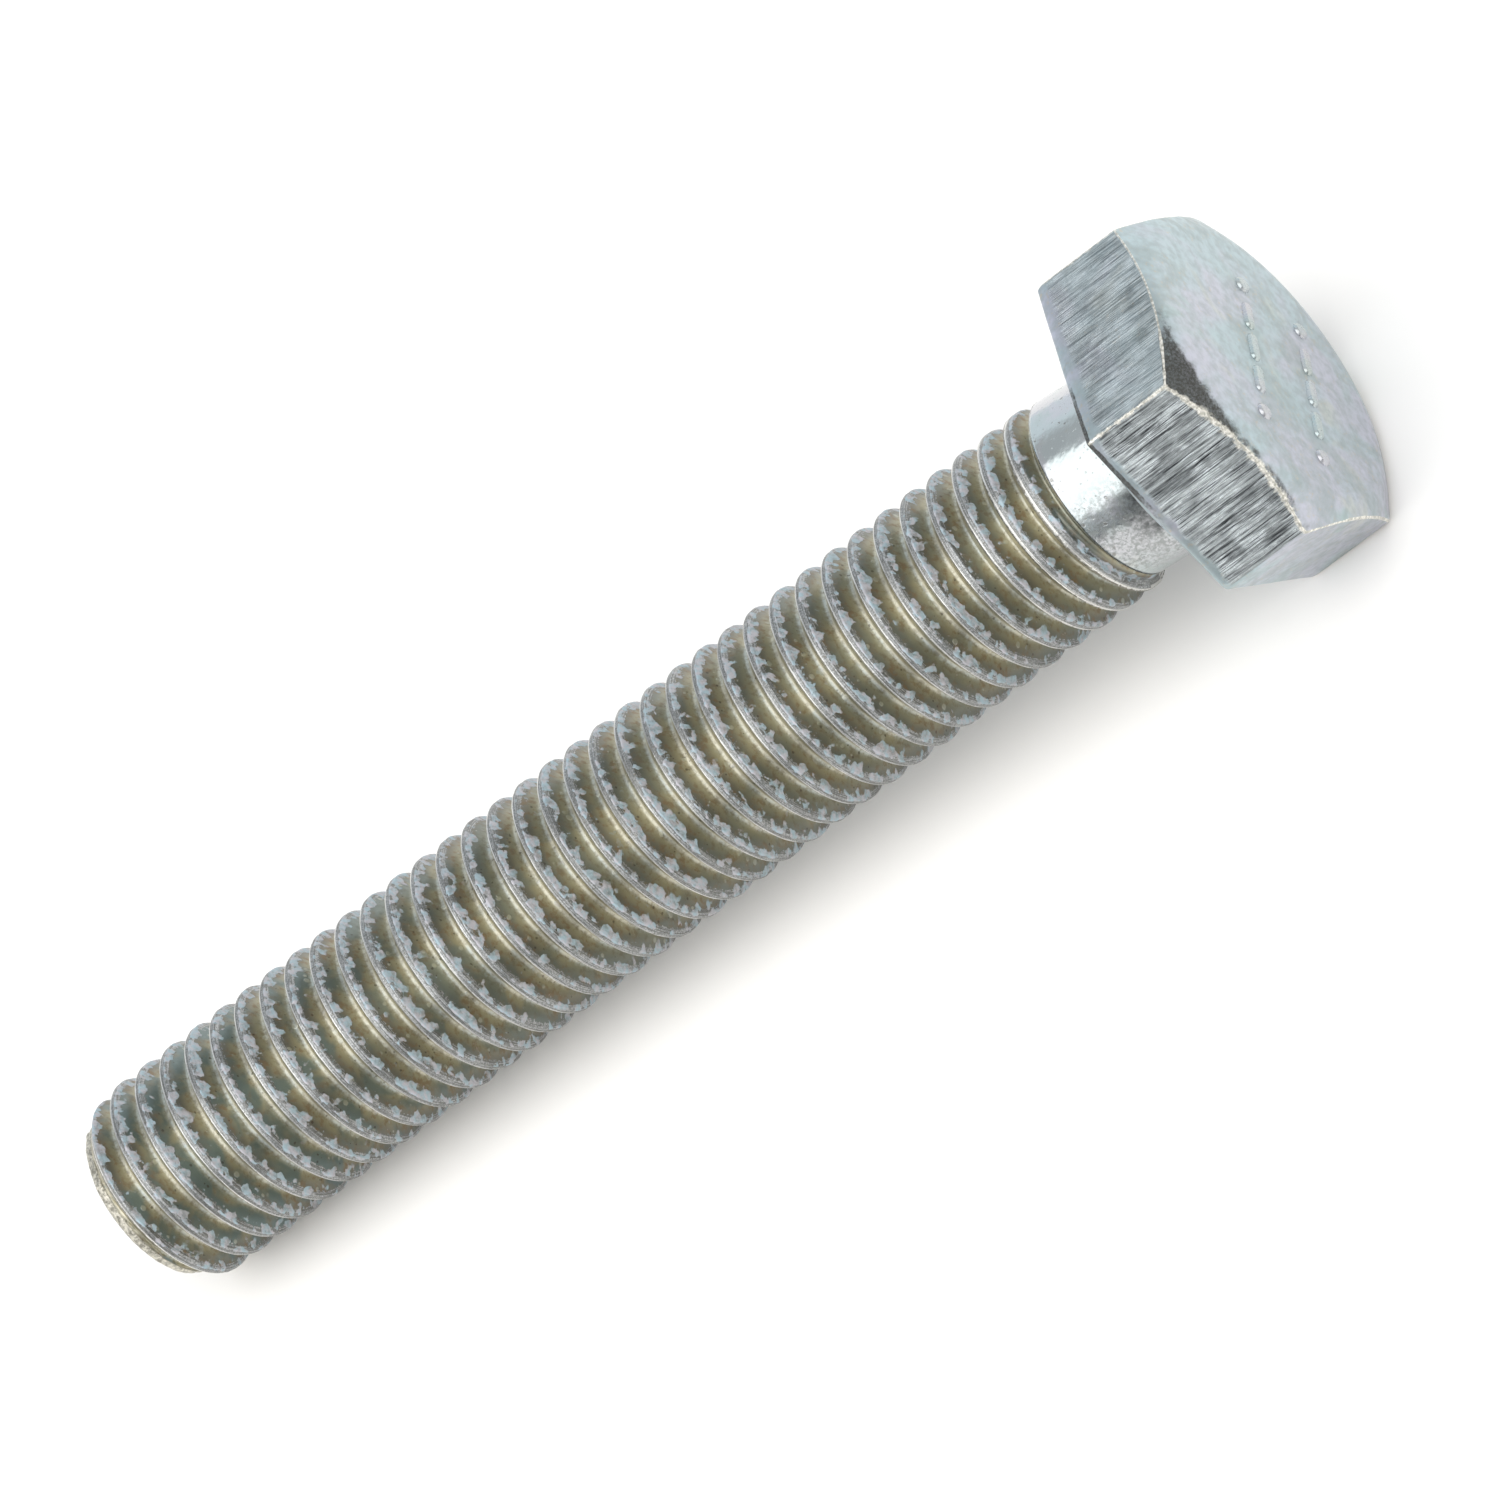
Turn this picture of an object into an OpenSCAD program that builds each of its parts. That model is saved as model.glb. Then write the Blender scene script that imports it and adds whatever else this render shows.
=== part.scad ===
// Hex bolt with a full-length thread, zinc plated.
// Lengths are in millimetres. The bolt lies along X: the head points to +X and the
// shank to -X. The origin is the centre of the bearing face under the head, and two of
// the head's flats face +Z and -Z.

/* [Shank] */
// Length from the bearing face to the end of the point
shank_length = 49.7; // [25:0.1:80]
// Outside diameter over the thread crests
thread_d = 7.9; // [6:0.1:12]
// Axial distance from one crest to the next
pitch = 1.25; // [1:0.05:1.75]
// Plain length between the bearing face and the first thread groove
neck_length = 3; // [1.5:0.1:8]
// How much smaller the plain neck is than the thread, on diameter
neck_undersize = 0.5; // [0.2:0.05:0.8]
// Radius of the fillet where the neck meets the head
fillet_r = 0.5; // [0.35:0.05:0.8]

/* [Point] */
// Slope of the point's chamfer from the axis, in degrees
point_angle = 34; // [25:1:45]
// How far the end face's edge lies inside the thread root
point_inset = 0.3; // [0.1:0.05:0.6]

/* [Head] */
// Width across the head's flats
across_flats = 12.7; // [10:0.1:19]
// Height of the head above the bearing face
head_height = 5; // [4:0.1:8]
// Slope of the chamfer round the top of the head, in degrees
crown_angle = 30; // [15:1:35]
// How much smaller the flat top circle is than the width across flats
crown_inset = 0.8; // [0.4:0.1:2]
// Thickness of the raised bearing ring under the head
ring_height = 0.4; // [0.15:0.05:0.6]
// How much smaller the bearing ring is than the width across flats
ring_inset = 1.1; // [0.6:0.1:2]
// Height of the slope that takes the sharp corners off under the head
corner_relief = 0.15; // [0.05:0.05:0.4]

/* [Head marks] */
// Height of the raised marks above the top of the head
mark_height = 0.12; // [0.05:0.01:0.2]
// Width of each mark
mark_width = 0.45; // [0.3:0.05:0.6]
// Length of each dash from end to end
mark_length = 1.3; // [1:0.1:1.6]
// Distance between the centres of two marks in a row
mark_spacing = 1.7; // [1.5:0.1:2]
// Distance between the two rows of marks
row_spacing = 3.1; // [1.5:0.1:4.5]
// Distance from the head's axis to the middle between the rows
row_offset = -0.6; // [-1:0.1:1]
// Direction of the rows round the head's axis, in degrees
row_angle = 78; // [0:1:359]

/* [Hidden] */
$fn = 96;

// Thread form: 60 degree flanks between a narrow crest flat and a wider root flat
flank_slope = 30;
thread_depth = 0.6134 * pitch;
crest_flat = pitch / 8;
flank_width = thread_depth * tan(flank_slope);
crest_r = thread_d / 2;
root_r = crest_r - thread_depth;

// One turn of the thread has this many steps
turn_steps = 24;
// Where the thread starts round the axis
start_angle = 153;
// The groove deepens over this many steps as it leaves the neck
run_in_steps = 18;
// The last ridge sinks into the root over this many steps
run_out_steps = 6;
// Plain length between each end of the thread and the first and last step
end_margin = 0.05;

neck_r = crest_r - neck_undersize / 2;
fillet_edge_r = neck_r + fillet_r;
tip_r = root_r - point_inset;
point_length = point_inset / tan(point_angle);
thread_start_x = -neck_length;
thread_end_x = point_length - shank_length;

corner_r = across_flats / 2 / cos(30);
flat_r = across_flats / 2;
ring_r = (across_flats - ring_inset) / 2;
crown_r = (across_flats - crown_inset) / 2;
crown_drop = (corner_r - crown_r) * tan(crown_angle);
prism_height = head_height - ring_height;

// Turns a shape that is drawn round Z so that it lies round X, with its base at x
module along_x(x) {
    translate([x, 0, 0]) rotate([0, 90, 0]) children();
}

// The six-sided head, with its top corners turned to a cone and its lower ones relieved
module hex_head() {
    color([0.74, 0.78, 0.8]) along_x(ring_height) intersection() {
        rotate([0, 0, 30]) cylinder(h = prism_height, r = corner_r, $fn = 6);
        rotate_extrude() polygon([
            [0, 0],
            [flat_r, 0],
            [corner_r, corner_relief],
            [corner_r, prism_height - crown_drop],
            [crown_r, prism_height],
            [0, prism_height]
        ]);
    }
}

// The low ring under the head that bears on the clamped part
module bearing_ring() {
    color([0.72, 0.74, 0.75]) along_x(0) difference() {
        cylinder(h = ring_height, r = ring_r);
        translate([0, 0, -ring_height]) cylinder(h = 3 * ring_height, r = fillet_edge_r);
    }
}

// A quarter circle that flares from the neck out to the bearing face
function fillet_points(steps = 8) = [
    for (i = [0 : steps]) let (a = 90 * i / steps) [
        fillet_edge_r - fillet_r * sin(a),
        -fillet_r + fillet_r * cos(a)
    ]
];

// The plain neck, its fillet and the core that fills the bearing ring
module plain_neck() {
    color([0.7, 0.69, 0.67]) along_x(0) rotate_extrude() polygon(concat(
        [[0, ring_height], [fillet_edge_r, ring_height]],
        fillet_points(),
        [[neck_r, -neck_length], [0, -neck_length]]
    ));
}

// How far the thread has formed, as a share of its full shape, a number of steps from the neck
function run_in(step) = min(1, step / run_in_steps);

// How much of the ridge is left, as a share of its full height, near the point
function run_out(step) = max(0, min(1, (last_step - step) / run_out_steps));

// The slope from the neck down to the thread root, over the first pitch
function neck_slope_r(x) = max(root_r,
    neck_r - (neck_r - root_r) * (thread_start_x - x) / (pitch + end_margin));

// The point's cone, which cuts the ridges down as they come near the end
function point_cone_r(x) = root_r + (x - thread_end_x) * tan(point_angle);

// The thread's outline along one pitch: distance from its start and radius at each corner
thread_outline = [
    [0, root_r],
    [flank_width, crest_r],
    [flank_width + crest_flat, crest_r],
    [2 * flank_width + crest_flat, root_r]
];
outline_corners = len(thread_outline);

// The thread takes the whole steps that fit, and its last turn has a groove but no ridge
step_advance = pitch / turn_steps;
thread_length = thread_start_x - thread_end_x - 2 * end_margin;
last_step = floor(thread_length / step_advance) - turn_steps;

// The direction of a step round the axis, which makes a right-hand thread
function step_angle(step) = start_angle - 360 * step / turn_steps;

// A point on the thread, at a step along the helix and a corner of the outline
function thread_point(step, corner) = let (
    x = thread_start_x - end_margin - step * step_advance - thread_outline[corner][0],
    slope_r = neck_slope_r(x),
    formed_r = slope_r + (thread_outline[corner][1] - slope_r) * run_in(step),
    ridge_r = root_r + (formed_r - root_r) * (corner == 0 ? 1 : run_out(step)),
    r = min(ridge_r, point_cone_r(x))
) [x, r * cos(step_angle(step)), r * sin(step_angle(step))];

// A ring of points at one end of the thread, in step with its first or last turn
function end_ring(x, r, first_step) = [
    for (i = [0 : turn_steps - 1]) let (angle = step_angle(first_step + i))
        [x, r * cos(angle), r * sin(angle)]
];

// Places in the list of points: the ridge's corners, the last groove, then the two rings
last_groove = (last_step + 1) * outline_corners;
neck_ring = last_groove + turn_steps;
point_ring = neck_ring + turn_steps;

// The place of a corner. The corner after the last is the first one, a turn further on.
function at(step, corner) =
    corner == outline_corners ? at(step + turn_steps, 0)
    : step > last_step ? last_groove + step - last_step - 1
    : step * outline_corners + corner;

// Triangles from one point to each edge of a line of points
function fan(hub, line) = [for (i = [0 : len(line) - 2]) [hub, line[i], line[i + 1]]];

// The rolled thread, as one closed mesh that winds round the shank
module threaded_shank() {
    color([0.58, 0.57, 0.5]) polyhedron(
        points = concat(
            [
                for (step = [0 : last_step]) for (corner = [0 : outline_corners - 1])
                    thread_point(step, corner)
            ],
            [for (i = [1 : turn_steps]) thread_point(last_step + i, 0)],
            end_ring(thread_start_x, neck_r, 0),
            end_ring(thread_end_x, root_r, last_step)
        ),
        faces = concat(
            // The flanks, crest and root
            [
                for (step = [0 : last_step - 1]) for (corner = [0 : outline_corners - 1])
                    each fan(at(step, corner), [
                        at(step, corner + 1),
                        at(step + 1, corner + 1),
                        at(step + 1, corner)
                    ])
            ],
            // From the neck's ring to the first groove
            [
                for (i = [0 : turn_steps - 2])
                    each fan(at(i, 0), [at(i + 1, 0), neck_ring + i + 1, neck_ring + i])
            ],
            fan(at(turn_steps - 1, 0), concat(
                [for (corner = [outline_corners : -1 : 0]) at(0, corner)],
                [neck_ring, neck_ring + turn_steps - 1]
            )),
            // From the last groove to the point's ring
            fan(at(last_step + 1, 0), concat(
                [for (corner = [0 : outline_corners]) at(last_step, corner)],
                [point_ring, point_ring + 1]
            )),
            [
                for (i = [1 : turn_steps - 1])
                    each fan(at(last_step + i, 0), [
                        point_ring + i,
                        point_ring + (i + 1) % turn_steps,
                        at(last_step + i + 1, 0)
                    ])
            ],
            // The two ends
            [[for (i = [0 : turn_steps - 1]) neck_ring + i]],
            [[for (i = [turn_steps - 1 : -1 : 0]) point_ring + i]]
        )
    );
}

// The end of the shank, turned to a short cone
module chamfered_point() {
    color([0.75, 0.74, 0.7]) along_x(-shank_length)
        cylinder(h = point_length, r1 = tip_r, r2 = root_r);
}

// A raised dash with round ends. Its length lies along the row of marks.
module dash() {
    straight = mark_length - mark_width;
    translate([-straight / 2, -mark_width / 2, 0]) cube([straight, mark_width, mark_height]);
    for (side = [-1, 1]) translate([side * straight / 2, 0, 0])
        cylinder(h = mark_height, d = mark_width, $fn = 24);
}

// A raised dot
module dot() cylinder(h = mark_height, d = 1.4 * mark_width, $fn = 24);

// Two rows of dashes and dots on the top of the head
module head_marks() {
    color([0.78, 0.8, 0.8]) along_x(head_height) rotate([0, 0, row_angle])
        for (row = [-1, 1]) translate([0, row_offset + row * row_spacing / 2, 0]) {
            for (i = [-1 : 1]) translate([i * mark_spacing, 0, 0]) dash();
            for (i = [-1, 1]) translate([i * 2 * mark_spacing, 0, 0]) dot();
        }
}

hex_head();
bearing_ring();
plain_neck();
threaded_shank();
chamfered_point();
head_marks();
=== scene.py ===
# %% [markdown]
# # A zinc plated hex bolt
# A bolt like this is one forging. A length of steel wire is upset into a six-sided head,
# the shank is squeezed between two grooved dies that roll the thread into it, and the
# whole bolt is dipped in a zinc bath and passivated. Nothing on it moves, so every piece
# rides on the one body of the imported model. The lesson makes each zone of the bolt as its
# own mesh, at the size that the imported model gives, and then finishes it with node
# materials: silver zinc, drawn streaks, rubbed edges and the dull bloom in the thread.

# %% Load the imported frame
import math

import bmesh
import bpy
import numpy as np
from mathutils import Matrix, Vector


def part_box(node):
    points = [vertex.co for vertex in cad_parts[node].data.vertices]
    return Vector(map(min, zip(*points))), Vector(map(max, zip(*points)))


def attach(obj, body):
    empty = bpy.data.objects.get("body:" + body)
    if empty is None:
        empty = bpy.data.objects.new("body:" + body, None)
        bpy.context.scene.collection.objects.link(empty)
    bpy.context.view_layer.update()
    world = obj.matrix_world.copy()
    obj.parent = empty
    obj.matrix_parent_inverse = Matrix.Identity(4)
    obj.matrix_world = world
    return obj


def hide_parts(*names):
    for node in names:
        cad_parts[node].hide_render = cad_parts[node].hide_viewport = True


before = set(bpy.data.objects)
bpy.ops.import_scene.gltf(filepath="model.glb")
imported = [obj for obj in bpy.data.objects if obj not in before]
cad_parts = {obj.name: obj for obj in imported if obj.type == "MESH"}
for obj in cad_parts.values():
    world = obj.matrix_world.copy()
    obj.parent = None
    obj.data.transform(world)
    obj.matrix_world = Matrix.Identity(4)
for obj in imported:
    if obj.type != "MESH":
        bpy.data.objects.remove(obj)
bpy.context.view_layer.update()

MM = 0.001
print("nodes:", sorted(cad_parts))

# %% [markdown]
# ## The bolt's own measures
# Blender works in metres, but a bolt is drawn in millimetres. The shapes below are made
# in millimetres and scaled once, when the mesh is made. The lengths come from the packed
# model's boxes. The few that a box can't give, such as the thread's pitch, are the maker's
# standard sizes for this bolt.

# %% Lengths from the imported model
def reach(node):
    """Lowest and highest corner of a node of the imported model, in millimetres."""
    low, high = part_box(node)
    return np.array(low) / MM, np.array(high) / MM


head_low, head_high = reach("hex_head")
head_under, head_top, flat_r = head_low[0], head_high[0], head_high[2]
ring_r = reach("bearing_ring")[1][2]
neck_end = reach("plain_neck")[0][0]
fillet_edge = reach("plain_neck")[1][2]
thread_end = reach("threaded_shank")[0][0]
point_low, point_high = reach("chamfered_point")
point_end, point_r = point_low[0], point_high[2]
mark_top = reach("head_marks")[1][0]
print("head %.2f to %.2f, flats at %.2f, ring %.2f" % (head_under, head_top, flat_r, ring_r))
print("neck ends at %.2f, thread at %.2f, point at %.2f" % (neck_end, thread_end, point_end))

# %% Lengths from the thread's standard
thread_pitch = 1.25
crest_r = 3.95
root_r = point_r
neck_r = 3.7
# The crest's place along the bolt where it crosses the +Y side
crest_start = -0.352
print("pitch %.2f, crest %.2f, root %.2f" % (thread_pitch, crest_r, root_r))

# %% [markdown]
# ## Camera
# The bolt is seen from beside its head, from above, with a long lens, so that the far end
# looks almost as thick as the near one. The camera is turned about its own axis until the
# bolt runs from the lower left to the upper right. It is placed like a tripod: a point to
# aim at, a direction, a distance and a roll.

# %% Aim the camera
def camera_axes(azimuth, elevation, roll):
    """The camera's right, up and back directions, all angles in degrees."""
    az, el, turn = (math.radians(a) for a in (azimuth, elevation, roll))
    back = Vector((math.sin(az) * math.cos(el), -math.cos(az) * math.cos(el), math.sin(el)))
    level = Vector((math.cos(az), math.sin(az), 0))
    up = back.cross(level)
    right = level * math.cos(turn) - up * math.sin(turn)
    return right, back.cross(right), back


aim, camera_distance = Vector((-19.8 * MM, 0, 0)), 528.3
right, up, back = camera_axes(azimuth=33.52, elevation=42.87, roll=60.92)
camera_data = bpy.data.cameras.new("bench_camera")
camera_data.lens = 356.6
camera_data.sensor_width = 36
camera_data.clip_start = 0.05
camera_data.clip_end = 20
camera = bpy.data.objects.new("bench_camera", camera_data)
camera.matrix_world = Matrix.Translation(aim + back * camera_distance * MM) @ Matrix(
    (right, up, back)
).transposed().to_4x4()
bpy.context.collection.objects.link(camera)
bpy.context.scene.camera = camera
print("camera at", [round(v, 3) for v in camera.matrix_world.translation])

# %% [markdown]
# ## Floor and light
# A bolt lying on a bench rests on a flat of its head and on the crests near its point, so
# the floor slopes a little under it. Bright metal shows what is round it more than its own
# colour: it needs one large soft light for the white streak, and something dark beside it
# for the grey ones. The world does both: a soft bright strip overhead that runs along the
# bolt, a pale backdrop behind and a dim band round the horizon. It is endless, so the floor
# is lit alike everywhere.

# %% Helpers for node trees
def wire(tree, source, target):
    """Feeds a socket from another socket, or sets it to a number or a colour of three."""
    if isinstance(source, bpy.types.NodeSocket):
        tree.links.new(source, target)
    elif isinstance(source, tuple):
        target.default_value = (*source, 1)
    else:
        target.default_value = source


def maths(tree, operation, *values):
    """A Math node on sockets or plain numbers."""
    node = tree.nodes.new("ShaderNodeMath")
    node.operation = operation
    for value, socket in zip(values, node.inputs):
        wire(tree, value, socket)
    return node.outputs[0]


def times(tree, first, second):
    """The product of two sockets or plain numbers."""
    return maths(tree, "MULTIPLY", first, second)


def soft_step(tree, value, low, high, to_low=0.0, to_high=1.0):
    """Goes smoothly from to_low to to_high as value goes from low to high."""
    node = tree.nodes.new("ShaderNodeMapRange")
    node.interpolation_type = "SMOOTHSTEP"
    for source, name in (
        (value, "Value"),
        (low, "From Min"),
        (high, "From Max"),
        (to_low, "To Min"),
        (to_high, "To Max"),
    ):
        wire(tree, source, node.inputs[name])
    return node.outputs[0]


def mix_colours(tree, amount, first, second, blend="MIX"):
    """Goes from the first colour to the second as amount goes from 0 to 1."""
    node = tree.nodes.new("ShaderNodeMix")
    node.data_type = "RGBA"
    node.blend_type = blend
    for source, socket in zip((amount, first, second), (node.inputs[i] for i in (0, 6, 7))):
        wire(tree, source, socket)
    return node.outputs[2]


def grey(value):
    return (value, value, value)


# %% World: bright strip, backdrop and dim horizon
def facing(tree, towards, direction):
    """How much a direction points the same way as another, from -1 to 1."""
    node = tree.nodes.new("ShaderNodeVectorMath")
    node.operation = "DOT_PRODUCT"
    tree.links.new(towards, node.inputs[0])
    node.inputs[1].default_value = Vector(direction).normalized()
    return node.outputs["Value"]


world = bpy.data.worlds.new("studio")
bpy.context.scene.world = world
world.use_nodes = True
sky = world.node_tree
sky.nodes.clear()
way = sky.nodes.new("ShaderNodeTexCoord").outputs["Generated"]
height = facing(sky, way, (0, 0, 1))
along = maths(sky, "ABSOLUTE", facing(sky, way, (1, 0, 0)))
across = maths(sky, "SQRT", maths(sky, "SUBTRACT", 1.0001, times(sky, along, along)))
strip_way, strip_glow = (0, -0.39, 0.92), 2.0
overhead = maths(sky, "DIVIDE", facing(sky, way, strip_way), across)
softbox = times(sky, soft_step(sky, overhead, 0.78, 0.85), soft_step(sky, along, 0.985, 0.92))
room = mix_colours(sky, soft_step(sky, height, 0.06, 0.22), grey(0.12), (0.62, 0.63, 0.65))
toward_wall = soft_step(sky, facing(sky, way, (0, 1, 0)), 0.30, 0.75)
behind = times(sky, toward_wall, soft_step(sky, height, 0.75, 0.55))
room = mix_colours(sky, behind, room, (0.98, 1.04, 1.10))
lit = mix_colours(sky, softbox, room, grey(strip_glow))
path = sky.nodes.new("ShaderNodeLightPath").outputs["Is Camera Ray"]
seen = mix_colours(sky, path, lit, grey(1.0))
glow = sky.nodes.new("ShaderNodeBackground")
sky.links.new(seen, glow.inputs["Color"])
sky.links.new(glow.outputs[0], sky.nodes.new("ShaderNodeOutputWorld").inputs["Surface"])
print("world lit by", len(sky.nodes), "nodes")

# %% Floor
def new_material(name):
    """A material with one Principled shader. Returns it, its tree and the shader."""
    material = bpy.data.materials.new(name)
    material.use_nodes = True
    tree = material.node_tree
    return material, tree, tree.nodes["Principled BSDF"]


def place_in_mm(tree):
    """The place on the bolt in millimetres."""
    place = tree.nodes.new("ShaderNodeTexCoord").outputs["Object"]
    node = tree.nodes.new("ShaderNodeVectorMath")
    node.operation = "MULTIPLY"
    tree.links.new(place, node.inputs[0])
    node.inputs[1].default_value = (1 / MM, 1 / MM, 1 / MM)
    return node.outputs[0]


def cloud(tree, place, size, detail=2.0, roughness=0.5, distortion=0.0):
    """Soft noise from 0 to 1 with patches of about the given size, a socket or a number."""
    node = tree.nodes.new("ShaderNodeTexNoise")
    live = isinstance(size, bpy.types.NodeSocket)
    scale = maths(tree, "DIVIDE", 1.0, size) if live else 1.0 / size
    wire(tree, place, node.inputs["Vector"])
    wire(tree, scale, node.inputs["Scale"])
    wire(tree, detail, node.inputs["Detail"])
    wire(tree, roughness, node.inputs["Roughness"])
    wire(tree, distortion, node.inputs["Distortion"])
    return node.outputs["Fac"]


floor_contact = np.array([[head_under + 0.3, -flat_r], [thread_end + 0.35, -crest_r]])
floor_slope = (floor_contact[0, 1] - floor_contact[1, 1]) / (
    floor_contact[0, 0] - floor_contact[1, 0]
)


def floor_z(x):
    return floor_contact[0, 1] + floor_slope * (x - floor_contact[0, 0]) - 0.02


floor_mesh = bpy.data.meshes.new("bench_floor")
floor_half = 9000
floor_corners = [
    (side * floor_half * MM, y * MM, floor_z(side * floor_half) * MM)
    for side, y in ((-1, -floor_half), (1, -floor_half), (1, floor_half), (-1, floor_half))
]
floor_mesh.from_pydata(floor_corners, [], [(0, 1, 2, 3)])
floor = bpy.data.objects.new("bench_floor", floor_mesh)
bpy.context.collection.objects.link(floor)
paper, tree, shader = new_material("pale_paper")
shade = cloud(tree, place_in_mm(tree), 3.0, detail=3.0)
pale = mix_colours(tree, shade, (0.935, 0.92, 0.895), (0.95, 0.935, 0.91))
wire(tree, pale, shader.inputs["Base Color"])
shader.inputs["Roughness"].default_value = 0.8
shader.inputs["Specular IOR Level"].default_value = 0.2
floor_mesh.materials.append(paper)
bpy.context.scene.view_settings.view_transform = "Standard"
print("floor slopes %.1f degrees" % math.degrees(math.atan(floor_slope)))

# %% [markdown]
# ## Making a piece
# Each piece is a grid of points bent round the bolt's axis: rows run along a section, and
# columns run round the axis. Numpy makes the points, and bmesh then joins the ones that
# meet, closes the ends and turns all faces outwards. Numbers that a finish will need, such
# as how far a point is from an edge, are kept on the mesh as named attributes.

# %% Helpers for meshes
def rows_and_columns(rows, columns, turn_rows=0):
    """Quads of a grid that closes on itself. The last column meets the first one,
    turn_rows rows further up, which is how a screw thread joins itself."""
    r = np.arange(rows - 1)[:, None]
    c = np.arange(columns)[None, :]
    beyond = c == columns - 1
    step = np.where(beyond, turn_rows, 0)
    right = np.where(beyond, 0, c + 1)
    low, high = np.clip(r - step, 0, rows - 1), np.clip(r + 1 - step, 0, rows - 1)
    near = (r * columns + c, (r + 1) * columns + c)
    far = (low * columns + right, high * columns + right)
    return np.stack([near[0], far[0], far[1], near[1]], -1).reshape(-1, 4)


def round_axis(x, radius, angle):
    """Points in the bolt's frame from place along the axis, radius and angle."""
    x, radius, angle = np.broadcast_arrays(x, radius, angle)
    return np.stack([x, radius * np.cos(angle), radius * np.sin(angle)], -1).reshape(-1, 3)


weld = 1e-4


def make_piece(name, points, quads, attributes=None):
    """A smooth closed mesh from points in millimetres, with its attributes."""
    mesh = bpy.data.meshes.new(name)
    mesh.from_pydata((points * MM).tolist(), [], quads.tolist())
    for key, values in (attributes or {}).items():
        layer = mesh.attributes.new(key, "FLOAT", "POINT")
        layer.data.foreach_set("value", np.ascontiguousarray(values, np.float32).ravel())
    work = bmesh.new()
    work.from_mesh(mesh)
    bmesh.ops.remove_doubles(work, verts=work.verts, dist=weld * MM)
    bmesh.ops.delete(work, geom=[v for v in work.verts if not v.link_faces], context="VERTS")
    open_edges = [e for e in work.edges if e.is_boundary]
    bmesh.ops.holes_fill(work, edges=open_edges, sides=0)
    bmesh.ops.recalc_face_normals(work, faces=work.faces)
    still_open = sum(not e.is_manifold for e in work.edges)
    for face in work.faces:
        face.smooth = len(face.verts) <= 4
    work.to_mesh(mesh)
    work.free()
    piece = bpy.data.objects.new(name, mesh)
    bpy.context.collection.objects.link(piece)
    print(name, len(mesh.polygons), "faces, open edges:", still_open)
    return piece


def column_values(rows, item, angle):
    """One item of every row, as a grid with one value for each angle."""
    return np.array([row[item] + 0 * angle for row in rows])


def revolve(name, rows, angle, attributes=None):
    """A piece from rows of (x, radius), each one number or a value for each angle."""
    x, radius = (column_values(rows, item, angle) for item in (0, 1))
    quads = rows_and_columns(len(rows), len(angle))
    return make_piece(name, round_axis(x, radius, angle), quads, attributes)


def ripple(angle, seed, waves, fade=1.0):
    """A smooth random wave round the axis, about -1 to 1, the same on every run."""
    dice = np.random.default_rng(seed)
    full_turn, calm = 6.283, 1.6
    total = 0.0
    for k in range(1, waves + 1):
        height = dice.normal() / k**fade
        total = total + height * np.cos(k * angle + dice.uniform(0, full_turn))
    return total / calm


# %% [markdown]
# ## Hex head
# The head is forged in a round die and its six flats are then sheared, which leaves fine
# lines along them. Turning or forging the top leaves a shallow cone, and where the cone
# meets a flat it makes the curved edge that every hex bolt shows. A cylinder with six
# sides and a boolean cone would give that edge, but as a hard crease. Here the section is
# worked out for each direction instead, so that every edge can be rounded by its own
# amount: tight between cone and flat, and a long shallow roll along the lower edge.

# %% Outline of the hexagon
def hexagon_outline(half_width, corner_rounds, per_flat, per_corner):
    """Angle and radius of a hexagon whose corners have the given rounding, and the
    distance from each point to its nearest corner."""
    slant = math.tan(math.radians(30))
    along = half_width * slant
    points, from_corner = [], []
    for corner, corner_round in enumerate(corner_rounds):
        middle = math.radians(60 * corner)
        corner_at = (half_width - corner_round) / math.cos(math.radians(30))
        centre = corner_at * np.array([math.cos(middle), math.sin(middle)])
        tangent = corner_round * slant
        for a in np.linspace(-30, 30, per_corner):
            turn = middle + math.radians(a)
            points.append(centre + corner_round * np.array([math.cos(turn), math.sin(turn)]))
            from_corner.append(abs(a) / 30 * tangent)
        flat = middle + math.radians(30)
        normal = np.array([math.cos(flat), math.sin(flat)])
        side = np.array([-normal[1], normal[0]])
        first = tangent - along + 0.03
        last = along - corner_rounds[(corner + 1) % 6] * slant - 0.03
        for t in np.linspace(first, last, per_flat):
            points.append(half_width * normal + t * side)
            from_corner.append(along - abs(t))
    points = np.array(points)
    angle = np.arctan2(points[:, 1], points[:, 0]) % (2 * math.pi)
    order = np.argsort(angle)
    return angle[order], np.hypot(*points.T)[order], np.array(from_corner)[order]


corner_rounds = (0.2, 0.16, 0.13, 0.42, 0.2, 0.26)
head_angle, head_radius, head_corner = hexagon_outline(
    flat_r, corner_rounds, per_flat=44, per_corner=9
)
print(len(head_angle), "columns, radius %.2f to %.2f" % (head_radius.min(), head_radius.max()))

# %% Section of the head
crown_from, crown_to, crown_slope, dome = 5.35, 6.45, math.tan(math.radians(29)), 0.05
far_from_edge = 3.0


def crown_drop(radius):
    """How far the top lies below its middle: a faint dome that rolls over into a cone."""
    wide = crown_to - crown_from
    s = np.clip((radius - crown_from) / wide, 0, 1)
    rolled = wide * crown_slope * (s**3 - s**4 / 2)
    cone = np.maximum(radius - crown_to, 0) * crown_slope
    return dome * (radius / crown_from) ** 2 + rolled + cone


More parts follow.
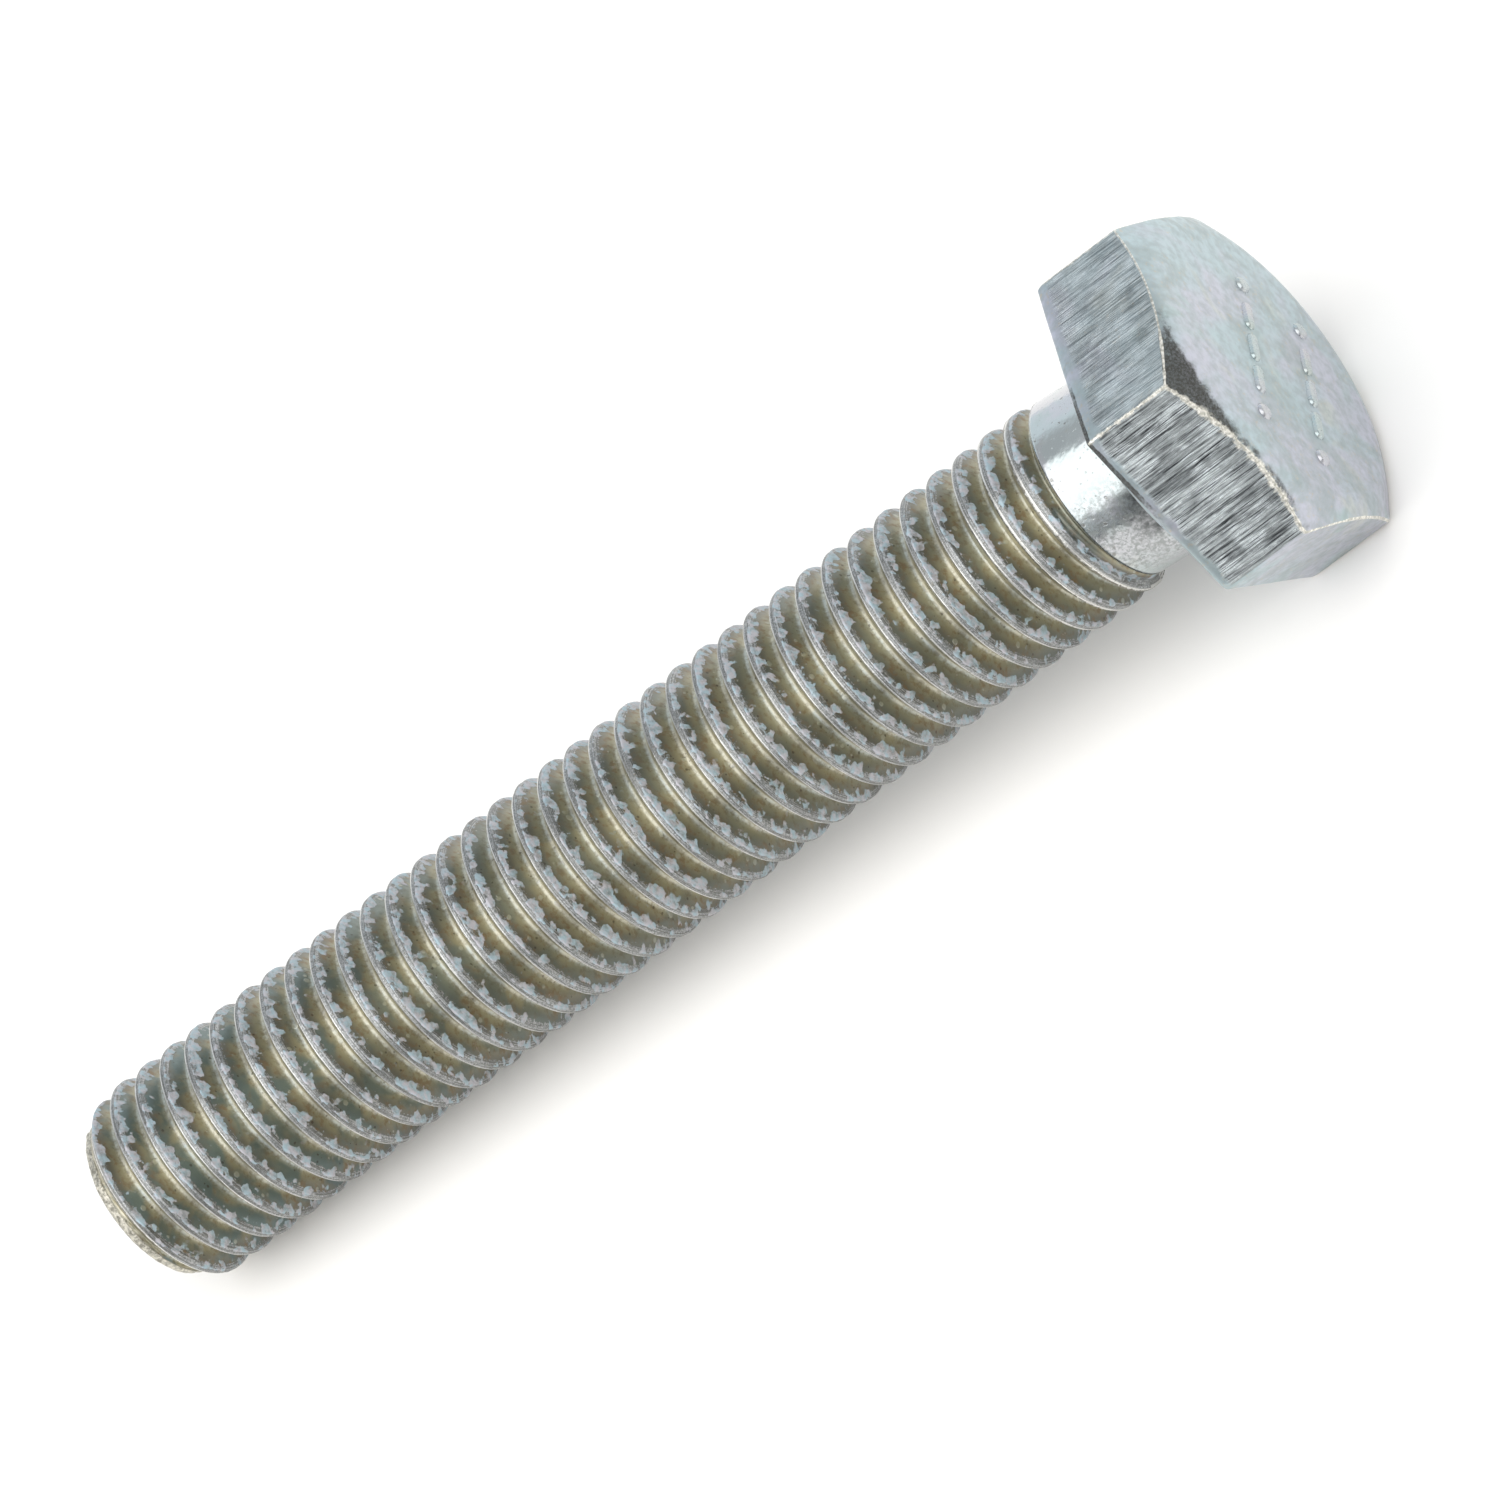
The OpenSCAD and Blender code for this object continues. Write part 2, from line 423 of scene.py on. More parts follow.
def head_rows(outline, angle):
    """Rows of (x, radius, distance to the crown's edge), from the top to the underside."""
    rows = []
    crown_round = 0.10 + 0.03 * ripple(angle, 3, 40, 0.5)
    crown_round = np.clip(crown_round, 0.06, 0.17)
    lower_round = 0.46 + 0.04 * ripple(angle, 4, 14, 0.4)
    lower_in = 0.13 + 0.02 * ripple(angle, 5, 20, 0.4)
    lower_x = head_under + 0.03 * (outline - flat_r)
    tilt = math.atan(crown_slope)
    # The crown's edge is an arc that touches the cone above and the flat below
    arc_r = outline - crown_round
    edge_x = head_top - crown_drop(outline)
    arc_x = edge_x - crown_round * math.tan((math.pi / 2 - tilt) / 2)
    cone_r = arc_r + crown_round * math.sin(tilt)
    for t in np.linspace(0, 1, 15)[:-1]:
        radius = crown_from * t
        rows.append((head_top - crown_drop(radius), radius, outline - radius))
    for t in np.linspace(0, 1, 15):
        radius = crown_from + (cone_r - crown_from) * t
        rows.append((head_top - crown_drop(radius), radius, outline - radius))
    top_of_arc = head_top - crown_drop(cone_r)
    for a in np.linspace(0, 1, 8)[1:]:
        turn = (math.pi / 2 - tilt) * (1 - a)
        radius = arc_r + crown_round * np.cos(turn)
        x = arc_x + crown_round * np.sin(turn) * (top_of_arc - arc_x) / (
            crown_round * math.cos(tilt)
        )
        rows.append((x, radius, 0))
    low = lower_x + lower_round
    for t in (0.02, 0.06, 0.12, 0.2, 0.3, 0.4, 0.5, 0.6, 0.7, 0.8, 0.88, 0.94, 0.98, 1.0):
        x = arc_x + (low - arc_x) * t
        rows.append((x, outline, arc_x - x))
    for a in np.linspace(0, 1, 10)[1:]:
        turn = math.radians(88) * a
        x = low - lower_round * np.sin(turn)
        rows.append((x, outline - lower_in * (1 - np.cos(turn)), arc_x - low))
    for radius in (flat_r - 0.42, ring_r + 0.08, ring_r - 0.1, 4.9, 3.4):
        rows.append((head_under, radius, far_from_edge))
    return rows


# %% Build the head
rows = head_rows(head_radius, head_angle)
head_x, head_r, crown_gap = (column_values(rows, item, head_angle) for item in (0, 1, 2))
crown_gap = np.clip(crown_gap, 0, far_from_edge)
from_rim = head_x - head_under
flat_number = np.floor(head_angle / math.radians(60)).astype(int)
shear_depth = np.array([0.6, 0.64, 1.0, 0.04, 0.65, 0.85])[flat_number]
on_flat = (np.abs(head_r - head_radius[None, :]) < 0.02) & (crown_gap > 0)
band_width = np.array([0.5, 0.50, 0.30, 0.5, 0.45, 0.4])[flat_number]
band_edge = band_width + 0.03 * ripple(head_angle, 8, 50, 0.3)
sheared = shear_depth * on_flat * np.clip((from_rim - band_edge) / 0.16, 0, 1)
head_degrees = np.degrees(head_angle)
patch_at, patch_half, corner_at, corner_half = 124, 25, 150, 30
die_mark = np.exp(-(((head_degrees - patch_at) / patch_half) ** 4))
die_mark = die_mark * np.clip((head_r - 5.85) / 0.40, 0, 1)
past_corner = np.exp(-(((head_degrees - corner_at) / corner_half) ** 6))
die_mark = np.maximum(die_mark, 0.62 * past_corner * np.clip((0.42 - crown_gap) / 0.2, 0, 1))
corner_gap = head_corner[None, :] + 0.6 * (head_radius - head_r)
corner_gap = np.where(head_r > crown_from, corner_gap, far_from_edge)
# One corner keeps its coat: the distance is held up there, so that nothing rubs it
corner_gap = corner_gap + np.where(np.abs(head_angle - math.pi) < 0.3, 0.3, 0)[None, :]
head_masks = {
    "crown_edge": crown_gap,
    "crown_rub": 0.03 + 0.13 * past_corner + 0 * head_x,
    "corner_edge": corner_gap,
    "sheared": sheared,
    "die_mark": die_mark * ~on_flat,
}
head = revolve("hex_head_forged", rows, head_angle, head_masks)
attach(head, "root")
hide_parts("hex_head")

# %% [markdown]
# ## Bearing ring and plain neck
# Under the head a low ring bears on the clamped part. The neck below it is the wire as it
# was before rolling. It isn't quite true: where the dies stop, they push it a little to
# one side. Both are turned shapes, so they are revolved, with the neck's radius changing
# a little from side to side. The ring's outer edge slopes in towards the thread.

# %% Build the bearing ring
def round_angles(columns):
    """Evenly spaced angles once round the axis."""
    return np.linspace(0, 2 * math.pi, columns, endpoint=False)


def arc(centre, radius, start, stop, count):
    """Points (x, radius) on an arc, angles in degrees from +X."""
    a = np.radians(np.linspace(start, stop, count))
    return [(centre[0] + radius * math.cos(t), centre[1] + radius * math.sin(t)) for t in a]


ring_section = (
    [(head_under, fillet_edge), (head_under, ring_r)]
    + [(0.24, ring_r), (0.16, ring_r - 0.03)]
    + arc((0.12, ring_r - 0.32), 0.12, 100, 176, 7)
    + arc((0.06, fillet_edge + 0.06), 0.06, 184, 268, 6)
    + [(head_under, fillet_edge)]
)
ring_columns = 160
ring = revolve("bearing_ring_forged", ring_section, round_angles(ring_columns))
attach(ring, "root")
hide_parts("bearing_ring")

# %% Build the neck
neck_columns = 192
neck_angle = round_angles(neck_columns)
lean = np.cos(neck_angle - math.radians(48))
lean_by = 0.1
centre_r = 0.5
neck_sections = [(head_under, centre_r), (head_under, fillet_edge)]
fillet_round = fillet_edge - neck_r
for t in np.linspace(0, math.pi / 2, 12):
    radius = fillet_edge - fillet_round * math.sin(t)
    radius = radius - lean_by * lean * math.sin(t) ** 4
    neck_sections.append((-fillet_round * (1 - math.cos(t)), radius))
for t in np.linspace(0, 1, 26)[1:]:
    x = -fillet_round + (neck_end + fillet_round) * t
    waver = 0.012 * ripple(neck_angle + 2.2 * t, 7, 5) * math.sin(math.pi * t)
    neck_sections.append((x, neck_r + lean_by * lean * (2 * t - 1) + waver))
neck_rim = neck_sections[-1][1]
neck_sections.append((neck_end, neck_rim * 0.5))
neck_sections.append((neck_end, centre_r))
neck = revolve("plain_neck_drawn", neck_sections, neck_angle)
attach(neck, "root")
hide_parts("plain_neck")

# %% [markdown]
# ## Rolled thread
# Dies press the grooves in and push the metal up between them, so a rolled crest isn't
# sharp: two lips meet over a fine seam, and near the neck, where the groove is shallower,
# the crest stays broad. A screw modifier would sweep one section and could not do that.
# Here the section is drawn anew at every step along the helix. The grid leans by one
# pitch per turn, so its rows follow the crest and its last column joins its first one a
# turn further on.

# %% Section of one thread
thread_columns = 96
half_pitch = thread_pitch / 2
root_round = 0.17


def thread_section(sink):
    """Offset from the crest's middle and radius of each point of one thread, from the
    root on the head side to the root on the point side. sink is how far the groove has
    been pressed in, from 0 to 1. All values are arrays of one row for each step."""
    sink = np.asarray(sink, float)[..., None]
    depth = (crest_r - root_r) * sink
    bottom = crest_r - depth
    slope = math.tan(math.radians(60))
    turn = np.radians([0, 20, 40, 60])
    root_u = half_pitch - root_round * np.sin(turn) + 0 * depth
    root_rr = bottom + root_round * (1 - np.cos(turn))
    flank_top = crest_r - 0.10
    top_u = root_u[..., -1:] - (flank_top - root_rr[..., -1:]) / slope
    t = np.array([0.25, 0.5, 0.72, 0.9, 1.0])
    flank_u = root_u[..., -1:] + (top_u - root_u[..., -1:]) * t
    flank_rr = root_rr[..., -1:] + (flank_top - root_rr[..., -1:]) * t
    lip_u = top_u * np.array([0.84, 0.66, 0.40, 0.16])
    lip_rr = crest_r + np.array([-0.055, -0.022, 0.0, -0.018]) + 0 * depth
    half_u = np.concatenate([root_u, flank_u, lip_u], -1)
    # The lip on the point side is pushed out further than the other
    wider = 1.35
    point_flank_u = root_u[..., -1:] + (wider * top_u - root_u[..., -1:]) * t
    point_u = np.concatenate([root_u, point_flank_u, wider * lip_u], -1)
    half_rr = np.concatenate([root_rr, flank_rr, lip_rr], -1)
    broad_lip = crest_r + np.array([-0.035, -0.018, 0.0, -0.018]) + 0 * depth
    point_rr = np.concatenate([root_rr, flank_rr, broad_lip], -1)
    seam_u = 0 * top_u
    seam_rr = crest_r - 0.03 + 0 * depth
    return (
        np.concatenate([half_u, seam_u, -point_u[..., ::-1]], -1),
        np.concatenate([half_rr, seam_rr, point_rr[..., ::-1]], -1),
    )


full_section_u = thread_section([1.0])[0]
per_turn = full_section_u.shape[-1] - 1
print(per_turn, "rows a turn, %.2f to %.2f" % (full_section_u.max(), full_section_u.min()))

# %% Wind the section round the shank
first_turn = math.ceil((crest_start + half_pitch - neck_end) / thread_pitch) - 1
last_turn = math.ceil((crest_start + thread_pitch - half_pitch - thread_end) / thread_pitch)
turns = np.arange(first_turn, last_turn + 1)
thread_angle = np.arange(thread_columns) * 2 * math.pi / thread_columns
crest_x = crest_start + thread_pitch * (
    thread_angle[None, :] / (2 * math.pi) - turns[:, None]
)
shallow_turns = 3.5
sink = 0.80 + 0.20 * np.clip((neck_end - crest_x) / (shallow_turns * thread_pitch), 0, 1)
u, r = thread_section(sink)
u, r = u[..., :-1], r[..., :-1]
thread_x = np.moveaxis(crest_x[..., None] + u, 1, 2).reshape(-1, thread_columns)
thread_r = np.moveaxis(r, 1, 2).reshape(-1, thread_columns)
phase = np.moveaxis(u, 1, 2).reshape(-1, thread_columns) / thread_pitch * 2 * math.pi
print(thread_x.shape, "grid from", round(thread_x.max(), 2), "to", round(thread_x.min(), 2))

# %% Run-in, run-out and the small unevenness of rolling
turning = thread_angle[None, :]
rim_r = root_r + 0.19
neck_here = np.interp(thread_angle, neck_angle, neck_rim, period=2 * math.pi)
run_in_length, end_slope = 0.42, 0.9
into_thread = neck_end - thread_x
run_in = np.clip(into_thread / run_in_length, 0, 1)
entry_r = neck_here[None, :] - (neck_here[None, :] - root_r) * run_in
crest_cap = crest_r - 0.10 * np.exp(-np.clip(into_thread, 0, 99) / 0.9)
thread_r = np.minimum(thread_r, crest_cap)
entry = np.maximum(np.minimum(thread_r, neck_here), entry_r)
thread_r = np.where(run_in < 1, entry, thread_r)
from_end = thread_x - thread_end
end_cone = rim_r + end_slope * np.clip(from_end, 0, 9)
thread_r = np.minimum(thread_r, end_cone)
rough = ripple(turning + thread_x * 1.7, 11, 30, 0.3) * 0.006
on_crest = np.clip(np.cos(phase), 0, 1) ** 2
thread_r = thread_r + rough * on_crest * (into_thread > 0.5)
inside = (thread_x < neck_end) & (thread_x > thread_end)
thread_r = np.where(thread_x >= neck_end, neck_here[None, :], thread_r)
thread_r = np.where(thread_x <= thread_end, rim_r, thread_r)
thread_x = np.clip(thread_x, thread_end, neck_end)
thread = make_piece(
    "rolled_thread",
    round_axis(thread_x, thread_r, turning),
    rows_and_columns(len(thread_x), thread_columns, per_turn),
    {
        "crest": np.cos(phase) * inside,
        "headward": np.sin(phase) * inside,
    },
)
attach(thread, "root")
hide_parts("threaded_shank")

# %% [markdown]
# ## Chamfered point
# The wire is chamfered before it is rolled, and rolling then pushes metal over the
# chamfer. What is left is a blunt, burred rim round a slightly hollow end face. It is a
# revolved section whose rim stands a little proud of the thread's root and is roughened
# with random waves.

# %% Build the point
point_columns = 240
point_angle = round_angles(point_columns)
burr = ripple(point_angle, 21, 60, 0.35)
burr_depth = 0.03
length = thread_end - point_end
rim_rows = [(thread_end, centre_r)]
rim_share = (0.0, 0.18, 0.36, 0.54, 0.7, 0.82, 0.91, 0.97, 1.0)
rim_inset = (0.0, 0.01, 0.03, 0.06, 0.10, 0.15, 0.20, 0.27, 0.36)
for t, inset in zip(rim_share, rim_inset):
    wobble = burr_depth * burr * math.sin(math.pi * t)
    rim_rows.append((thread_end - length * t, rim_r - inset + wobble))
end_face = ((2.8, 0.01), (2.6, 0.03), (2.2, 0.06), (1.6, 0.09), (0.9, 0.11), (0.3, 0.12))
for radius, hollow in end_face:
    rim_rows.append((point_end + hollow, radius))
point = revolve("chamfered_point_burred", rim_rows, point_angle)
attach(point, "root")
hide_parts("chamfered_point")

# %% [markdown]
# ## Raised marks
# Forged heads carry raised marks on top. These are plain dashes and dots in two rows. Each
# is a pad with a soft shoulder, a grid of outlines that rises from the dome.

# %% Build the marks
mark_columns = 36


def pad_rows(half_length, half_width):
    """Outlines of a pad from its foot to its top, as arrays of (along, across, height)."""
    turn = round_angles(mark_columns)
    straight = max(half_length - half_width, 0)
    rows = []
    shoulder = ((-0.05, -0.6), (-0.03, 0.0), (0.0, 0.35), (0.03, 0.7), (0.07, 0.92), (0.12, 1.0))
    for inset, height in (*shoulder, (half_width * 0.9, 1.0)):
        radius = half_width - inset
        along = radius * np.cos(turn) + straight * np.sign(np.round(np.cos(turn), 6))
        rows.append((along, radius * np.sin(turn), np.full(mark_columns, height)))
    return rows


row_turn = math.radians(78)
mark_spacing, row_spacing, row_offset = 1.7, 3.1, -0.6
mark_half, mark_length, dot_swell = 0.45 / 2, 1.3, 1.4
mark_height = mark_top - head_top
marks_points, marks_quads = [], []
for row in (-1, 1):
    for place in (-2, -1, 0, 1, 2):
        dot = abs(place) == 2
        half_w = mark_half * (dot_swell if dot else 1)
        outlines = pad_rows(half_w if dot else mark_length / 2, half_w)
        for along, across, height in outlines:
            along = along + place * mark_spacing
            across = across + row_offset + row * row_spacing / 2
            y = along * math.sin(row_turn) + across * math.cos(row_turn)
            z = -(along * math.cos(row_turn) - across * math.sin(row_turn))
            x = head_top - crown_drop(np.hypot(y, z)) + mark_height * height
            marks_points.append(np.stack([x, y, z], -1))
        first = (len(marks_points) - len(outlines)) * mark_columns
        marks_quads.append(rows_and_columns(len(outlines), mark_columns) + first)
marks_points, marks_quads = np.concatenate(marks_points), np.concatenate(marks_quads)
marks = make_piece("head_marks_raised", marks_points, marks_quads)
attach(marks, "root")
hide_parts("head_marks")

# %% [markdown]
# ## Finishes
# Every zone has the same coat, zinc with a clear passivation, but it wears and gathers in
# different ways. So the effects are shader node groups, made once and placed in each
# material with its own sizes: soft rainbow tints, drawn lines, pits and specks, rubbed
# edges and the dull bloom that creeps out of the crests. The groups work in millimetres on
# the bolt, so a speck is as large on the thread as on the head.

# %% Helper for node groups
def new_group(name, inputs, outputs):
    """An empty shader node group. inputs are (name, plain value), outputs (name, kind)."""
    group = bpy.data.node_groups.new(name, "ShaderNodeTree")
    for label, value in inputs:
        kind = "NodeSocketColor" if isinstance(value, tuple) else "NodeSocketFloat"
        socket = group.interface.new_socket(label, in_out="INPUT", socket_type=kind)
        socket.default_value = (*value, 1) if isinstance(value, tuple) else value
    for label, kind in outputs:
        group.interface.new_socket(label, in_out="OUTPUT", socket_type=kind)
    return group, group.nodes.new("NodeGroupInput").outputs, group.nodes.new("NodeGroupOutput")


def place_group(tree, group, **values):
    """Places a group in a material and feeds its inputs. Returns its outputs."""
    node = tree.nodes.new("ShaderNodeGroup")
    node.node_tree = group
    for label, value in values.items():
        wire(tree, value, node.inputs[label.replace("_", " ")])
    return node.outputs


def blend(tree, amount, first, second):
    """Goes from the first value to the second as amount goes from 0 to 1."""
    node = tree.nodes.new("ShaderNodeMix")
    for source, socket in zip((amount, first, second), (node.inputs[i] for i in (0, 2, 3))):
        wire(tree, source, socket)
    return node.outputs[0]


# %% [markdown]
# Passivation is a film thinner than a wavelength of light, so it shows faint blue, lilac
# and straw tints where its thickness drifts. Real thin film shading would change with the
# view. Slow noise between a few tints is steadier.

# %% Group: passivation tints
tints, enter, leave = new_group(
    "passivation_tints",
    [("Colour", grey(0.5)), ("Patch size", 1.5), ("Strength", 0.5)],
    [("Colour", "NodeSocketColor")],
)
place = place_in_mm(tints)
patch = maths(tints, "DIVIDE", 1.0, enter["Patch size"])


def tint_cloud(shift, finer):
    """A slow noise whose patches follow the group's patch size."""
    node = tints.nodes.new("ShaderNodeTexNoise")
    move = tints.nodes.new("ShaderNodeVectorMath")
    wire(tints, place, move.inputs[0])
    move.inputs[1].default_value = shift
    wire(tints, move.outputs[0], node.inputs["Vector"])
    wire(tints, times(tints, patch, finer), node.inputs["Scale"])
    node.inputs["Detail"].default_value = 3.0
    node.inputs["Roughness"].default_value = 0.55
    node.inputs["Distortion"].default_value = 0.6
    return node.outputs["Fac"]


film = mix_colours(
    tints,
    soft_step(tints, tint_cloud((3, 1, 7), 0.7), 0.42, 0.62),
    (0.93, 1.02, 1.05),
    (1.10, 1.01, 1.12),
)
straw = soft_step(tints, tint_cloud((9, 4, 2), 1.3), 0.58, 0.72)
film = mix_colours(tints, times(tints, straw, 0.6), film, (1.12, 1.04, 0.90))
green = soft_step(tints, tint_cloud((1, 8, 5), 1.0), 0.55, 0.75)
film = mix_colours(tints, green, film, (0.82, 0.93, 0.90))
stained = mix_colours(tints, 1.0, enter["Colour"], film, "MULTIPLY")
wire(tints, mix_colours(tints, enter["Strength"], enter["Colour"], stained), leave.inputs[0])
print(tints.name, len(tints.nodes), "nodes")

# %% [markdown]
# Shearing and drawing leave lines along the bolt. Noise that is stretched along X gives
# lines of random length and weight, where a wave texture would give a ruled pattern. Two
# widths are laid over each other.

# %% Group: drawn lines
lines, enter, leave = new_group(
    "drawn_lines",
    [("Length", 2.0), ("Width", 0.1)],
    [("Lines", "NodeSocketFloat")],
)
layers = []
for finer, shift in ((1.0, 0), (2.3, 5)):
    split = lines.nodes.new("ShaderNodeSeparateXYZ")
    lines.links.new(place_in_mm(lines), split.inputs[0])
    join = lines.nodes.new("ShaderNodeCombineXYZ")
    width = maths(lines, "DIVIDE", enter["Width"], finer)
    along = maths(lines, "DIVIDE", split.outputs[0], enter["Length"])
    along = maths(lines, "ADD", along, shift)
    wire(lines, along, join.inputs[0])
    wire(lines, maths(lines, "DIVIDE", split.outputs[1], width), join.inputs[1])
    wire(lines, maths(lines, "DIVIDE", split.outputs[2], width), join.inputs[2])
    layers.append(cloud(lines, join.outputs[0], 1.0, detail=3.0, roughness=0.6))
drawn = maths(lines, "MULTIPLY_ADD", layers[0], 0.6, times(lines, layers[1], 0.4))
wire(lines, soft_step(lines, drawn, 0.40, 0.60), leave.inputs[0])
print(lines.name, len(lines.nodes), "nodes")

# %% [markdown]
# Pits and specks are small round dots of many sizes, some of them missing. A Voronoi
# texture has one dot in each cell. Its random cell colour decides how large the dot is and
# whether it is there at all.

# %% Group: specks
specks, enter, leave = new_group(
    "specks",
    [("Size", 0.2), ("Share", 0.3)],
    [("Specks", "NodeSocketFloat")],
)
cells = specks.nodes.new("ShaderNodeTexVoronoi")
warp = specks.nodes.new("ShaderNodeVectorMath")
warp.operation = "MULTIPLY_ADD"
ragged = specks.nodes.new("ShaderNodeTexNoise")
wire(specks, place_in_mm(specks), ragged.inputs["Vector"])
ragged.inputs["Scale"].default_value = 9.0
wire(specks, ragged.outputs["Color"], warp.inputs[0])
warp.inputs[1].default_value = (0.06, 0.06, 0.06)
wire(specks, place_in_mm(specks), warp.inputs[2])
wire(specks, warp.outputs[0], cells.inputs["Vector"])
wire(specks, maths(specks, "DIVIDE", 1.0, enter["Size"]), cells.inputs["Scale"])
pick = specks.nodes.new("ShaderNodeSeparateColor")
wire(specks, cells.outputs["Color"], pick.inputs[0])
there = maths(specks, "LESS_THAN", pick.outputs[0], enter["Share"])
dot_edge = soft_step(specks, pick.outputs[1], 0.0, 1.0, 0.18, 0.42)
dot_core = times(specks, dot_edge, 0.6)
dot_shape = soft_step(specks, cells.outputs["Distance"], dot_edge, dot_core)
wire(specks, times(specks, dot_shape, there), leave.inputs[0])
print(specks.name, len(specks.nodes), "nodes")

# %% [markdown]
# A bright edge is where the coat has rubbed through to smooth metal. The mesh knows how far
# each point is from its edge, so the mask is that distance with a ragged limit.

# %% Group: rubbed edge
rubbed, enter, leave = new_group(
    "rubbed_edge",
    [("Distance", 1.0), ("Width", 0.15), ("Grain", 0.25)],
    [("Mask", "NodeSocketFloat")],
)
grain = cloud(rubbed, place_in_mm(rubbed), enter["Grain"], detail=5.0, roughness=0.65)
uneven = soft_step(rubbed, grain, 0.3, 0.7, 0.2, 1.8)
limit = times(rubbed, enter["Width"], uneven)
inner = times(rubbed, limit, 0.15)
wire(rubbed, soft_step(rubbed, enter["Distance"], limit, inner), leave.inputs[0])
print(rubbed.name, len(rubbed.nodes), "nodes")

# %% [markdown]
# Where the bath drained badly, zinc dries to a dull pale bloom with jagged edges. Its group
# takes how much bloom a place should have and cuts fine noise at that level.

# %% Group: zinc bloom
bloom, enter, leave = new_group(
    "zinc_bloom",
    [("Coverage", 0.5), ("Grain", 0.3)],
    [("Mask", "NodeSocketFloat")],
)
coarse = cloud(bloom, place_in_mm(bloom), enter["Grain"], detail=3.0, roughness=0.42)
level = maths(bloom, "SUBTRACT", 1.0, enter["Coverage"])
spread = soft_step(bloom, coarse, 0.28, 0.72)
over = maths(bloom, "SUBTRACT", spread, level)
wire(bloom, soft_step(bloom, over, -0.05, 0.09), leave.inputs[0])
print(bloom.name, len(bloom.nodes), "nodes")

# %% [markdown]
# ## Plated head
# The top is satin with faint tints. The sheared flats are streaked light and dark along
# the bolt, one more than the next, down to a smooth rolled band at the lower edge. The
# edges are rubbed to a warm cream. On the cone beside one corner the die has left a rough
# dark patch.

# %% Helpers for finishing a material
def from_mesh(tree, name):
    """A value that the mesh carries."""
    node = tree.nodes.new("ShaderNodeAttribute")
    node.attribute_name = name
    return node.outputs["Fac"]


def metal_material(name):
    """A bare metal. Returns the material, its tree, its shader and the place on the bolt."""
    material, tree, shader = new_material(name)
    shader.inputs["Metallic"].default_value = 1.0
    return material, tree, shader, place_in_mm(tree)


def coat(piece, material):
    """Gives a piece its material."""
    piece.data.materials.append(material)
    print(material.name, len(material.node_tree.nodes), "nodes")


def bumps(tree, height, depth, normal=None):
    """A normal from a height between 0 and 1 that stands for a depth in millimetres."""
    node = tree.nodes.new("ShaderNodeBump")
    node.inputs["Distance"].default_value = depth * MM
    wire(tree, height, node.inputs["Height"])
    if normal is not None:
        tree.links.new(normal, node.inputs["Normal"])
    return node.outputs["Normal"]


# %% Material: plated head
plated_head, tree, shader, place = metal_material("plated_head")
sheared = from_mesh(tree, "sheared")
satin = place_group(tree, tints, Colour=(0.475, 0.53, 0.545), Patch_size=3.0, Strength=1.0)[0]
mottle = cloud(tree, place, 0.35, detail=5.0, roughness=0.6)
mottled = soft_step(tree, mottle, 0.35, 0.70, 0, 0.5)
satin = mix_colours(tree, mottled, satin, (0.35, 0.39, 0.40))
haze = cloud(tree, place, 2.2, detail=5.0, roughness=0.6, distortion=0.8)
hazy = soft_step(tree, haze, 0.45, 0.62, 0, 0.55)
satin = mix_colours(tree, hazy, satin, (0.33, 0.385, 0.39))
rust = soft_step(tree, cloud(tree, place, 0.22, detail=5.0, roughness=0.7), 0.55, 0.68, 0, 0.6)
rust = times(tree, rust, soft_step(tree, haze, 0.40, 0.55))
satin = mix_colours(tree, rust, satin, (0.52, 0.46, 0.36))
grain_height = cloud(tree, place, 0.12, detail=4.0, roughness=0.6)
streaks = place_group(tree, lines, Length=2.8, Width=0.12)[0]
hairs = place_group(tree, lines, Length=1.3, Width=0.055)[0]
broken = soft_step(tree, cloud(tree, place, 0.9, detail=3.0), 0.35, 0.65, 0.2, 0.75)
streaked = mix_colours(tree, streaks, (0.02, 0.022, 0.025), (0.28, 0.305, 0.31))
streaked = mix_colours(tree, times(tree, hairs, broken), streaked, (0.72, 0.78, 0.80))
flat_colour = mix_colours(tree, sheared, satin, streaked)
soot = cloud(tree, place, 0.09, detail=3.0, roughness=0.7)
patch_breakup = soft_step(tree, soot, 0.32, 0.62, 0.80, 1)
ragged = cloud(tree, place, 0.5, detail=5.0, roughness=0.7)
ragged = soft_step(tree, ragged, 0.3, 0.7, -0.45, 0.45)
patch = maths(tree, "ADD", times(tree, from_mesh(tree, "die_mark"), 1.5), ragged)
patch = soft_step(tree, patch, 0.25, 1.35)
rough_cone = times(tree, patch, patch_breakup)
flat_colour = mix_colours(tree, rough_cone, flat_colour, (0.085, 0.085, 0.08))
rubs = []
for edge, width in (("crown_edge", from_mesh(tree, "crown_rub")), ("corner_edge", 0.11)):
    gap = from_mesh(tree, edge)
    rubs.append(place_group(tree, rubbed, Distance=gap, Width=width, Grain=0.3)[0])
rub = maths(tree, "MAXIMUM", *rubs)
grainy = soft_step(tree, grain_height, 0.35, 0.65)
cream = mix_colours(tree, grainy, (0.95, 0.92, 0.84), (0.48, 0.47, 0.41))
head_colour = mix_colours(tree, times(tree, rub, 0.92), flat_colour, cream)
wire(tree, head_colour, shader.inputs["Base Color"])
satin_rough = soft_step(tree, mottle, 0.3, 0.7, 0.30, 0.42)
flat_rough = blend(tree, sheared, satin_rough, soft_step(tree, hairs, 0, 1, 0.42, 0.26))
wire(tree, blend(tree, rub, flat_rough, 0.34), shader.inputs["Roughness"])
fine = times(tree, maths(tree, "ADD", streaks, hairs), sheared)
rough_height = times(tree, grain_height, blend(tree, rough_cone, 0.12, 1.0))
normal = bumps(tree, fine, 0.012)
wire(tree, bumps(tree, rough_height, 0.03, normal), shader.inputs["Normal"])
coat(head, plated_head)

